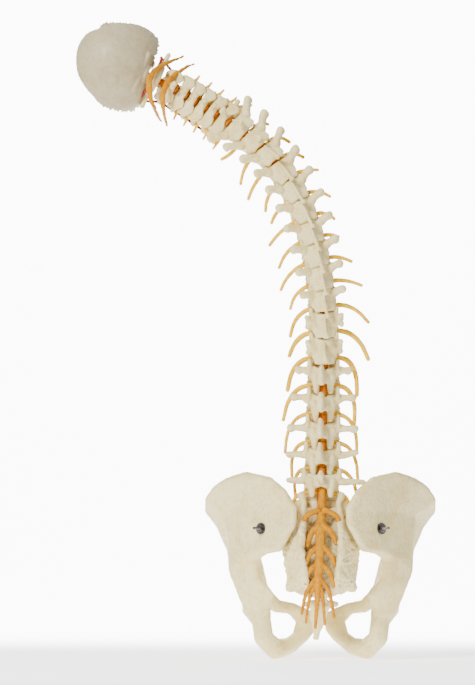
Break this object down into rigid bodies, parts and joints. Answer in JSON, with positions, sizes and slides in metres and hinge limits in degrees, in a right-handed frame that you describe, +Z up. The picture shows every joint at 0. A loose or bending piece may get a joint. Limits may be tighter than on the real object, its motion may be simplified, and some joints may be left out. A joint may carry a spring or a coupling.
{
  "type": "flexible spine model",
  "caption": "Flexible classroom model of the human spine with pelvis, sacrum, discs, cord, nerves and the skull's back plate, posable by bending its core.",
  "frame": {"origin": "centre of the flat lower end of the core nut, in front of the sacrum, where a stand holds the model", "axes": "+Z up, +Y towards the belly (anterior), +X towards the model's right side; the back of the spine faces -Y"},
  "size_m": [0.4246, 0.1552, 0.7483],
  "materials": {
    "bone": "cast ivory plastic, matte",
    "cartilage": "soft pale plastic",
    "nerve": "soft orange-yellow plastic, satin",
    "artery": "soft dark red plastic, satin",
    "steel": "bright steel"
  },
  "bodies": {
    "pelvis": {"sacrum": "bone", "hip_bone_left": "bone", "hip_bone_right": "bone", "pubic_symphysis_disc": "cartilage", "sacroiliac_bolt_left": "steel", "sacroiliac_bolt_right": "steel", "core_rod": "steel", "core_nut": "steel", "spinal_cord": "nerve", "cauda_equina": "nerve", "vertebral_artery_left": "artery", "vertebral_artery_right": "artery"},
    "disc_l5_s1": {"disc_l5_s1": "cartilage"},
    "vertebra_l5": {"vertebra_l5": "bone"},
    "disc_l4_l5": {"disc_l4_l5": "cartilage"},
    "vertebra_l4": {"vertebra_l4": "bone"},
    "disc_l3_l4": {"disc_l3_l4": "cartilage"},
    "vertebra_l3": {"vertebra_l3": "bone"},
    "disc_l2_l3": {"disc_l2_l3": "cartilage"},
    "vertebra_l2": {"vertebra_l2": "bone"},
    "disc_l1_l2": {"disc_l1_l2": "cartilage"},
    "vertebra_l1": {"vertebra_l1": "bone"},
    "disc_t12_l1": {"disc_t12_l1": "cartilage"},
    "vertebra_t12": {"vertebra_t12": "bone"},
    "disc_t11_t12": {"disc_t11_t12": "cartilage"},
    "vertebra_t11": {"vertebra_t11": "bone"},
    "disc_t10_t11": {"disc_t10_t11": "cartilage"},
    "vertebra_t10": {"vertebra_t10": "bone"},
    "disc_t9_t10": {"disc_t9_t10": "cartilage"},
    "vertebra_t9": {"vertebra_t9": "bone"},
    "disc_t8_t9": {"disc_t8_t9": "cartilage"},
    "vertebra_t8": {"vertebra_t8": "bone"},
    "disc_t7_t8": {"disc_t7_t8": "cartilage"},
    "vertebra_t7": {"vertebra_t7": "bone"},
    "disc_t6_t7": {"disc_t6_t7": "cartilage"},
    "vertebra_t6": {"vertebra_t6": "bone"},
    "disc_t5_t6": {"disc_t5_t6": "cartilage"},
    "vertebra_t5": {"vertebra_t5": "bone"},
    "disc_t4_t5": {"disc_t4_t5": "cartilage"},
    "vertebra_t4": {"vertebra_t4": "bone"},
    "disc_t3_t4": {"disc_t3_t4": "cartilage"},
    "vertebra_t3": {"vertebra_t3": "bone"},
    "disc_t2_t3": {"disc_t2_t3": "cartilage"},
    "vertebra_t2": {"vertebra_t2": "bone"},
    "disc_t1_t2": {"disc_t1_t2": "cartilage"},
    "vertebra_t1": {"vertebra_t1": "bone"},
    "disc_c7_t1": {"disc_c7_t1": "cartilage"},
    "vertebra_c7": {"vertebra_c7": "bone"},
    "disc_c6_c7": {"disc_c6_c7": "cartilage"},
    "vertebra_c6": {"vertebra_c6": "bone"},
    "disc_c5_c6": {"disc_c5_c6": "cartilage"},
    "vertebra_c5": {"vertebra_c5": "bone"},
    "disc_c4_c5": {"disc_c4_c5": "cartilage"},
    "vertebra_c4": {"vertebra_c4": "bone"},
    "disc_c3_c4": {"disc_c3_c4": "cartilage"},
    "vertebra_c3": {"vertebra_c3": "bone"},
    "disc_c2_c3": {"disc_c2_c3": "cartilage"},
    "vertebra_c2": {"vertebra_c2": "bone"},
    "vertebra_c1": {"vertebra_c1": "bone"},
    "occipital_plate": {"occipital_plate": "bone"}
  },
  "joints": [
    {"name": "l5_s1_side_bend", "type": "hinge", "parent": "pelvis", "child": "disc_l5_s1", "pos_m": [0, 0.00217, 0.03327], "axis": [0, -0.866, 0.5], "range_deg": [-4.01, 4.01], "deforming": ["disc_l5_s1", "spinal_cord", "core_rod", "vertebral_artery_left", "vertebral_artery_right"]},
    {"name": "l5_s1_flexion", "type": "hinge", "parent": "disc_l5_s1", "child": "vertebra_l5", "pos_m": [0, 0.00217, 0.03327], "axis": [-0.9996, 0.0148, 0.0257], "range_deg": [-2.01, 3.51]},
    {"name": "l4_l5_side_bend", "type": "hinge", "parent": "vertebra_l5", "child": "disc_l4_l5", "pos_m": [0.00098, 0.01317, 0.06521], "axis": [-0.0057, -0.9455, 0.3256], "range_deg": [-4, 4], "deforming": ["disc_l4_l5"]},
    {"name": "l4_l5_flexion", "type": "hinge", "parent": "disc_l4_l5", "child": "vertebra_l4", "pos_m": [0.00098, 0.01317, 0.06521], "axis": [-0.9996, 0.0143, 0.024], "range_deg": [-2, 3.5]},
    {"name": "l3_l4_side_bend", "type": "hinge", "parent": "vertebra_l4", "child": "disc_l3_l4", "pos_m": [0.0019, 0.01867, 0.09997], "axis": [-0.0103, -0.9876, 0.1566], "range_deg": [-4.01, 4.01], "deforming": ["disc_l3_l4"]},
    {"name": "l3_l4_flexion", "type": "hinge", "parent": "disc_l3_l4", "child": "vertebra_l3", "pos_m": [0.0019, 0.01867, 0.09997], "axis": [-0.9997, 0.0134, 0.0189], "range_deg": [-2.01, 3.51]},
    {"name": "l2_l3_side_bend", "type": "hinge", "parent": "vertebra_l3", "child": "disc_l2_l3", "pos_m": [0.00259, 0.01867, 0.13636], "axis": [-0.0134, -0.9999, 0.0002], "range_deg": [-4.01, 4.01], "deforming": ["disc_l2_l3"]},
    {"name": "l2_l3_flexion", "type": "hinge", "parent": "disc_l2_l3", "child": "vertebra_l2", "pos_m": [0.00259, 0.01867, 0.13636], "axis": [-0.9998, 0.0134, 0.0154], "range_deg": [-2.01, 3.51]},
    {"name": "l1_l2_side_bend", "type": "hinge", "parent": "vertebra_l2", "child": "disc_l1_l2", "pos_m": [0.00308, 0.01428, 0.17209], "axis": [-0.0152, -0.9925, -0.1217], "range_deg": [-4.01, 4.01], "deforming": ["disc_l1_l2"]},
    {"name": "l1_l2_flexion", "type": "hinge", "parent": "disc_l1_l2", "child": "vertebra_l1", "pos_m": [0.00308, 0.01428, 0.17209], "axis": [-0.9999, 0.0143, 0.0085], "range_deg": [-2.01, 3.51]},
    {"name": "t12_l1_side_bend", "type": "hinge", "parent": "vertebra_l1", "child": "disc_t12_l1", "pos_m": [0.00326, 0.00708, 0.20598], "axis": [-0.0157, -0.9781, -0.2077], "range_deg": [-3.21, 0.41], "deforming": ["disc_t12_l1"]},
    {"name": "t12_l1_flexion", "type": "hinge", "parent": "disc_t12_l1", "child": "vertebra_t12", "pos_m": [0.00326, 0.00708, 0.20598], "axis": [-0.9996, 0.0201, -0.0189], "range_deg": [-1.01, 2.01]},
    {"name": "t11_t12_side_bend", "type": "hinge", "parent": "vertebra_t12", "child": "disc_t11_t12", "pos_m": [0.00253, -0.00055, 0.23664], "axis": [-0.0149, -0.9702, -0.2417], "range_deg": [-4.81, 0.61], "deforming": ["disc_t11_t12"]},
    {"name": "t11_t12_flexion", "type": "hinge", "parent": "disc_t11_t12", "child": "vertebra_t11", "pos_m": [0.00253, -0.00055, 0.23664], "axis": [-0.9978, 0.0302, -0.0595], "range_deg": [-1.01, 2.01]},
    {"name": "t10_t11_side_bend", "type": "hinge", "parent": "vertebra_t11", "child": "disc_t10_t11", "pos_m": [0.00065, -0.00702, 0.2648], "axis": [-0.0161, -0.9743, -0.2248], "range_deg": [-8.01, 1.01], "deforming": ["disc_t10_t11"]},
    {"name": "t10_t11_flexion", "type": "hinge", "parent": "disc_t10_t11", "child": "vertebra_t10", "pos_m": [0.00065, -0.00702, 0.2648], "axis": [-0.9908, 0.0457, -0.1272], "range_deg": [-1.01, 2.01]},
    {"name": "t9_t10_side_bend", "type": "hinge", "parent": "vertebra_t10", "child": "disc_t9_t10", "pos_m": [-0.00292, -0.01156, 0.29102], "axis": [-0.0231, -0.9845, -0.1739], "range_deg": [-7.01, 0.89], "deforming": ["disc_t9_t10"]},
    {"name": "t9_t10_flexion", "type": "hinge", "parent": "disc_t9_t10", "child": "vertebra_t9", "pos_m": [-0.00292, -0.01156, 0.29102], "axis": [-0.9809, 0.0559, -0.1865], "range_deg": [-1.01, 2.01]},
    {"name": "t8_t9_side_bend", "type": "hinge", "parent": "vertebra_t9", "child": "disc_t8_t9", "pos_m": [-0.0078, -0.01404, 0.31592], "axis": [-0.0365, -0.9937, -0.1061], "range_deg": [-7.41, 0.94], "deforming": ["disc_t8_t9"]},
    {"name": "t8_t9_flexion", "type": "hinge", "parent": "disc_t8_t9", "child": "vertebra_t8", "pos_m": [-0.0078, -0.01404, 0.31592], "axis": [-0.9665, 0.0621, -0.2492], "range_deg": [-1.01, 2.01]},
    {"name": "t7_t8_side_bend", "type": "hinge", "parent": "vertebra_t8", "child": "disc_t7_t8", "pos_m": [-0.01397, -0.01463, 0.33973], "axis": [-0.0542, -0.9978, -0.0387], "range_deg": [-7.01, 0.89], "deforming": ["disc_t7_t8"]},
    {"name": "t7_t8_flexion", "type": "hinge", "parent": "disc_t7_t8", "child": "vertebra_t7", "pos_m": [-0.01397, -0.01463, 0.33973], "axis": [-0.9493, 0.0634, -0.3078], "range_deg": [-1, 2]},
    {"name": "t6_t7_side_bend", "type": "hinge", "parent": "vertebra_t7", "child": "disc_t6_t7", "pos_m": [-0.02134, -0.01343, 0.36269], "axis": [-0.0756, -0.9968, 0.0278], "range_deg": [-9.61, 1.21], "deforming": ["disc_t6_t7"]},
    {"name": "t6_t7_flexion", "type": "hinge", "parent": "disc_t6_t7", "child": "vertebra_t6", "pos_m": [-0.02134, -0.01343, 0.36269], "axis": [-0.9205, 0.0591, -0.3863], "range_deg": [-1.01, 2.01]},
    {"name": "t5_t6_side_bend", "type": "hinge", "parent": "vertebra_t6", "child": "disc_t5_t6", "pos_m": [-0.03043, -0.01044, 0.38481], "axis": [-0.1022, -0.9905, 0.092], "range_deg": [-12, 1.5], "deforming": ["disc_t5_t6"]},
    {"name": "t5_t6_flexion", "type": "hinge", "parent": "disc_t5_t6", "child": "vertebra_t5", "pos_m": [-0.03043, -0.01044, 0.38481], "axis": [-0.876, 0.0458, -0.4801], "range_deg": [-1.01, 2.01]},
    {"name": "t4_t5_side_bend", "type": "hinge", "parent": "vertebra_t5", "child": "disc_t4_t5", "pos_m": [-0.04141, -0.00574, 0.40529], "axis": [-0.1348, -0.979, 0.1526], "range_deg": [-13.81, 1.74], "deforming": ["disc_t4_t5"]},
    {"name": "t4_t5_flexion", "type": "hinge", "parent": "disc_t4_t5", "child": "vertebra_t4", "pos_m": [-0.04141, -0.00574, 0.40529], "axis": [-0.814, 0.0216, -0.5804], "range_deg": [-1.01, 2.01]},
    {"name": "t3_t4_side_bend", "type": "hinge", "parent": "vertebra_t4", "child": "disc_t3_t4", "pos_m": [-0.0544, 0.0006, 0.42375], "axis": [-0.1739, -0.9625, 0.2081], "range_deg": [-12.81, 1.61], "deforming": ["disc_t3_t4"]},
    {"name": "t3_t4_flexion", "type": "hinge", "parent": "disc_t3_t4", "child": "vertebra_t3", "pos_m": [-0.0544, 0.0006, 0.42375], "axis": [-0.7472, -0.0087, -0.6646], "range_deg": [-1.01, 2.01]},
    {"name": "t2_t3_side_bend", "type": "hinge", "parent": "vertebra_t3", "child": "disc_t2_t3", "pos_m": [-0.06937, 0.00821, 0.44048], "axis": [-0.2072, -0.947, 0.2453], "range_deg": [-10.41, 1.31], "deforming": ["disc_t2_t3"]},
    {"name": "t2_t3_flexion", "type": "hinge", "parent": "disc_t2_t3", "child": "vertebra_t2", "pos_m": [-0.06937, 0.00821, 0.44048], "axis": [-0.6869, -0.0377, -0.7258], "range_deg": [-1.01, 2.01]},
    {"name": "t1_t2_side_bend", "type": "hinge", "parent": "vertebra_t2", "child": "disc_t1_t2", "pos_m": [-0.08577, 0.01702, 0.45554], "axis": [-0.2434, -0.929, 0.2786], "range_deg": [-7.61, 0.96], "deforming": ["disc_t1_t2"]},
    {"name": "t1_t2_flexion", "type": "hinge", "parent": "disc_t1_t2", "child": "vertebra_t1", "pos_m": [-0.08577, 0.01702, 0.45554], "axis": [-0.64, -0.062, -0.7659], "range_deg": [-1.01, 2.01]},
    {"name": "c7_t1_side_bend", "type": "hinge", "parent": "vertebra_t1", "child": "disc_c7_t1", "pos_m": [-0.10276, 0.02639, 0.46898], "axis": [-0.2687, -0.9158, 0.2987], "range_deg": [-5.01, 2.01], "deforming": ["disc_c7_t1"]},
    {"name": "c7_t1_flexion", "type": "hinge", "parent": "disc_c7_t1", "child": "vertebra_c7", "pos_m": [-0.10276, 0.02639, 0.46898], "axis": [-0.6106, -0.0779, -0.7881], "range_deg": [-2.21, 3.51]},
    {"name": "c6_c7_side_bend", "type": "hinge", "parent": "vertebra_c7", "child": "disc_c6_c7", "pos_m": [-0.11736, 0.03412, 0.47952], "axis": [-0.2687, -0.9158, 0.2987], "range_deg": [-5.01, 2.01], "deforming": ["disc_c6_c7"]},
    {"name": "c6_c7_flexion", "type": "hinge", "parent": "disc_c6_c7", "child": "vertebra_c6", "pos_m": [-0.11736, 0.03412, 0.47952], "axis": [-0.5855, -0.0909, -0.8055], "range_deg": [-2.21, 3.51]},
    {"name": "c5_c6_side_bend", "type": "hinge", "parent": "vertebra_c6", "child": "disc_c5_c6", "pos_m": [-0.13118, 0.03957, 0.48896], "axis": [-0.201, -0.9464, 0.2529], "range_deg": [-5.01, 2.01], "deforming": ["disc_c5_c6"]},
    {"name": "c5_c6_flexion", "type": "hinge", "parent": "disc_c5_c6", "child": "vertebra_c5", "pos_m": [-0.13118, 0.03957, 0.48896], "axis": [-0.5592, -0.1012, -0.8229], "range_deg": [-2.21, 3.51]},
    {"name": "c4_c5_side_bend", "type": "hinge", "parent": "vertebra_c5", "child": "disc_c4_c5", "pos_m": [-0.14469, 0.04297, 0.49772], "axis": [-0.1158, -0.9733, 0.1984], "range_deg": [-5, 2], "deforming": ["disc_c4_c5"]},
    {"name": "c4_c5_flexion", "type": "hinge", "parent": "disc_c4_c5", "child": "vertebra_c4", "pos_m": [-0.14469, 0.04297, 0.49772], "axis": [-0.5317, -0.1079, -0.8401], "range_deg": [-2.2, 3.5]},
    {"name": "c3_c4_side_bend", "type": "hinge", "parent": "vertebra_c4", "child": "disc_c3_c4", "pos_m": [-0.15827, 0.04457, 0.50611], "axis": [-0.0275, -0.9891, 0.1445], "range_deg": [-5.01, 2.01], "deforming": ["disc_c3_c4"]},
    {"name": "c3_c4_flexion", "type": "hinge", "parent": "disc_c3_c4", "child": "vertebra_c3", "pos_m": [-0.15827, 0.04457, 0.50611], "axis": [-0.5033, -0.1112, -0.8569], "range_deg": [-2.21, 3.51]},
    {"name": "c2_c3_side_bend", "type": "hinge", "parent": "vertebra_c3", "child": "disc_c2_c3", "pos_m": [-0.17182, 0.04472, 0.51404], "axis": [0.0479, -0.9938, 0.1008], "range_deg": [-5.01, 2.01], "deforming": ["disc_c2_c3"]},
    {"name": "c2_c3_flexion", "type": "hinge", "parent": "disc_c2_c3", "child": "vertebra_c2", "pos_m": [-0.17182, 0.04472, 0.51404], "axis": [-0.4729, -0.1115, -0.874], "range_deg": [-2.21, 3.51]},
    {"name": "head_turn", "type": "hinge", "parent": "vertebra_c2", "child": "vertebra_c1", "pos_m": [-0.19602, 0.04396, 0.52723], "axis": [-0.8755, -0.1173, 0.4687], "range_deg": [-30, 30]},
    {"name": "head_nod", "type": "hinge", "parent": "vertebra_c1", "child": "occipital_plate", "pos_m": [-0.20593, 0.04163, 0.53267], "axis": [-0.3795, -0.0997, -0.9198], "range_deg": [-6, 10]}
  ],
  "couplings": [
    {"joint": "l5_s1_side_bend", "follows": "l4_l5_side_bend", "ratio": 1},
    {"joint": "l5_s1_flexion", "follows": "l4_l5_flexion", "ratio": 1},
    {"joint": "l3_l4_side_bend", "follows": "l4_l5_side_bend", "ratio": 1},
    {"joint": "l3_l4_flexion", "follows": "l4_l5_flexion", "ratio": 1},
    {"joint": "l2_l3_side_bend", "follows": "l4_l5_side_bend", "ratio": 1},
    {"joint": "l2_l3_flexion", "follows": "l4_l5_flexion", "ratio": 1},
    {"joint": "l1_l2_side_bend", "follows": "l4_l5_side_bend", "ratio": 1},
    {"joint": "l1_l2_flexion", "follows": "l4_l5_flexion", "ratio": 1},
    {"joint": "t12_l1_side_bend", "follows": "t5_t6_side_bend", "ratio": 0.2667},
    {"joint": "t12_l1_flexion", "follows": "t7_t8_flexion", "ratio": 1},
    {"joint": "t11_t12_side_bend", "follows": "t5_t6_side_bend", "ratio": 0.4},
    {"joint": "t11_t12_flexion", "follows": "t7_t8_flexion", "ratio": 1},
    {"joint": "t10_t11_side_bend", "follows": "t5_t6_side_bend", "ratio": 0.6667},
    {"joint": "t10_t11_flexion", "follows": "t7_t8_flexion", "ratio": 1},
    {"joint": "t9_t10_side_bend", "follows": "t5_t6_side_bend", "ratio": 0.5833},
    {"joint": "t9_t10_flexion", "follows": "t7_t8_flexion", "ratio": 1},
    {"joint": "t8_t9_side_bend", "follows": "t5_t6_side_bend", "ratio": 0.6167},
    {"joint": "t8_t9_flexion", "follows": "t7_t8_flexion", "ratio": 1},
    {"joint": "t7_t8_side_bend", "follows": "t5_t6_side_bend", "ratio": 0.5833},
    {"joint": "t6_t7_side_bend", "follows": "t5_t6_side_bend", "ratio": 0.8},
    {"joint": "t6_t7_flexion", "follows": "t7_t8_flexion", "ratio": 1},
    {"joint": "t5_t6_flexion", "follows": "t7_t8_flexion", "ratio": 1},
    {"joint": "t4_t5_side_bend", "follows": "t5_t6_side_bend", "ratio": 1.15},
    {"joint": "t4_t5_flexion", "follows": "t7_t8_flexion", "ratio": 1},
    {"joint": "t3_t4_side_bend", "follows": "t5_t6_side_bend", "ratio": 1.0667},
    {"joint": "t3_t4_flexion", "follows": "t7_t8_flexion", "ratio": 1},
    {"joint": "t2_t3_side_bend", "follows": "t5_t6_side_bend", "ratio": 0.8667},
    {"joint": "t2_t3_flexion", "follows": "t7_t8_flexion", "ratio": 1},
    {"joint": "t1_t2_side_bend", "follows": "t5_t6_side_bend", "ratio": 0.6333},
    {"joint": "t1_t2_flexion", "follows": "t7_t8_flexion", "ratio": 1},
    {"joint": "c7_t1_side_bend", "follows": "c4_c5_side_bend", "ratio": 1},
    {"joint": "c7_t1_flexion", "follows": "c4_c5_flexion", "ratio": 1},
    {"joint": "c6_c7_side_bend", "follows": "c4_c5_side_bend", "ratio": 1},
    {"joint": "c6_c7_flexion", "follows": "c4_c5_flexion", "ratio": 1},
    {"joint": "c5_c6_side_bend", "follows": "c4_c5_side_bend", "ratio": 1},
    {"joint": "c5_c6_flexion", "follows": "c4_c5_flexion", "ratio": 1},
    {"joint": "c3_c4_side_bend", "follows": "c4_c5_side_bend", "ratio": 1},
    {"joint": "c3_c4_flexion", "follows": "c4_c5_flexion", "ratio": 1},
    {"joint": "c2_c3_side_bend", "follows": "c4_c5_side_bend", "ratio": 1},
    {"joint": "c2_c3_flexion", "follows": "c4_c5_flexion", "ratio": 1}
  ]
}
